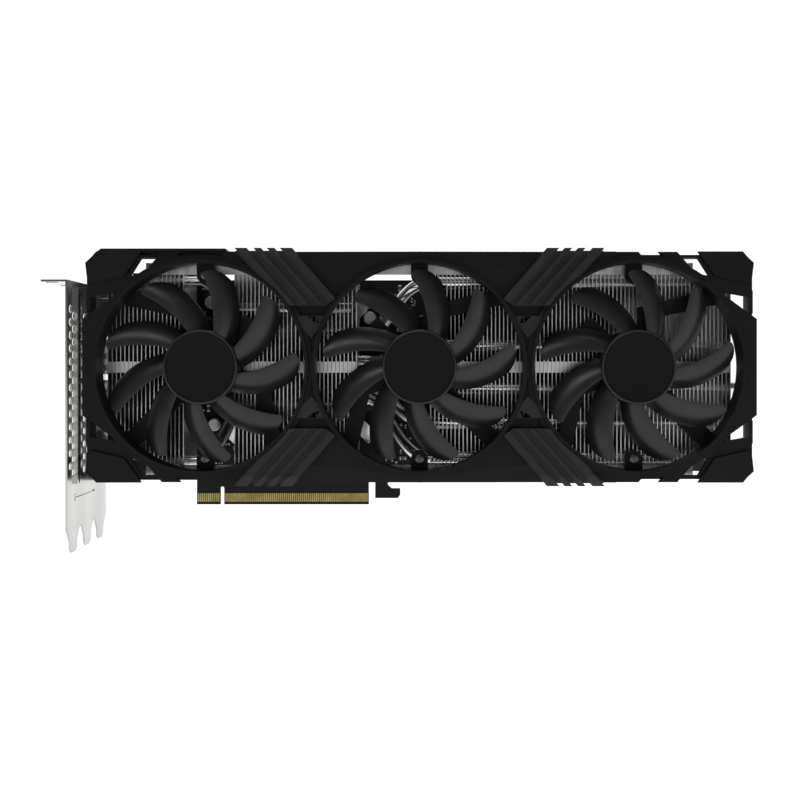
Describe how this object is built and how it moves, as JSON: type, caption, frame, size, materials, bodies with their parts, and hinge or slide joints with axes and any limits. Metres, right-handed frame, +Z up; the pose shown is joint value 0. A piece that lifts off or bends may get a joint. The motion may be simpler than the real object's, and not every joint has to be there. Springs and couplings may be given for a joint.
{
  "type": "graphics card",
  "caption": "Triple-fan graphics card with a black ridged shroud, full-length fin stack with heat pipes, backplate and a three-slot bracket.",
  "frame": {"origin": "middle of the long segment of the card-edge tongue, on its bottom edge, in the middle of the circuit board's thickness", "axes": "+X along the card from the slot bracket to the free end, +Y from the fans to the backplate, +Z up out of the slot"},
  "size_m": [0.3191, 0.0612, 0.1369],
  "materials": {
    "shroud_plastic": "fine moulded texture, black",
    "trim_plastic": "satin black",
    "blade_plastic": "satin black",
    "cap_plastic": "smooth black disc",
    "fin_aluminium": "bare pressed sheet",
    "plated_copper": "nickel-plated copper, satin",
    "dark_aluminium": "black powder coat on aluminium",
    "thermal_pad": "soft grey pad",
    "board_laminate": "black solder mask on glass laminate",
    "contact_gold": "gold-plated contacts",
    "chip_package": "moulded epoxy",
    "silicon": "polished silicon",
    "capacitor_can": "bare aluminium can",
    "header_plastic": "off-white nylon",
    "socket_plastic": "black nylon",
    "bracket_steel": "nickel-plated steel sheet",
    "black_steel": "blackened steel",
    "spring_steel": "plated steel",
    "bronze": "sintered bronze",
    "winding_copper": "enamelled copper on steel",
    "magnet": "ferrite"
  },
  "bodies": {
    "card": {"shroud_frame": "shroud_plastic", "ridge_trim": "trim_plastic", "corner_covers": "shroud_plastic", "top_plate": "shroud_plastic", "fin_stack_left": "fin_aluminium", "fin_stack_middle": "fin_aluminium", "fin_stack_right": "fin_aluminium", "heatsink_rails": "fin_aluminium", "heat_pipes": "plated_copper", "shroud_screws": "black_steel", "cold_plate": "plated_copper", "base_plate_left": "dark_aluminium", "base_plate_right": "dark_aluminium", "thermal_pads": "thermal_pad", "circuit_board": "board_laminate", "edge_contacts": "contact_gold", "gpu_package": "chip_package", "gpu_die": "silicon", "memory_chips": "chip_package", "chokes": "chip_package", "capacitors": "capacitor_can", "power_stages": "chip_package", "fan_headers": "header_plastic", "power_connector": "socket_plastic", "power_pins": "contact_gold", "slot_bracket": "bracket_steel", "displayport_sockets": "bracket_steel", "hdmi_socket": "bracket_steel", "port_tongues": "socket_plastic", "bracket_screws": "bracket_steel", "backplate": "dark_aluminium", "backplate_screws": "black_steel", "retention_brace": "black_steel", "spring_screws": "spring_steel", "screw_springs": "spring_steel", "fan_frame_1": "shroud_plastic", "fan_frame_2": "shroud_plastic", "fan_frame_3": "shroud_plastic", "stator_1": "winding_copper", "stator_2": "winding_copper", "stator_3": "winding_copper", "bearing_1": "bronze", "bearing_2": "bronze", "bearing_3": "bronze", "fan_screws": "black_steel"},
    "fan_1": {"fan_rotor_1": "blade_plastic", "rotor_magnet_1": "magnet", "hub_cap_1": "cap_plastic"},
    "fan_2": {"fan_rotor_2": "blade_plastic", "rotor_magnet_2": "magnet", "hub_cap_2": "cap_plastic"},
    "fan_3": {"fan_rotor_3": "blade_plastic", "rotor_magnet_3": "magnet", "hub_cap_3": "cap_plastic"}
  },
  "joints": [
    {"name": "fan_1_spin", "type": "hinge", "parent": "card", "child": "fan_1", "pos_m": [-0.037, -0.046, 0.0681], "axis": [0, -1, 0], "continuous": true},
    {"name": "fan_2_spin", "type": "hinge", "parent": "card", "child": "fan_2", "pos_m": [0.061, -0.046, 0.0681], "axis": [0, -1, 0], "continuous": true},
    {"name": "fan_3_spin", "type": "hinge", "parent": "card", "child": "fan_3", "pos_m": [0.159, -0.046, 0.0681], "axis": [0, -1, 0], "continuous": true}
  ]
}
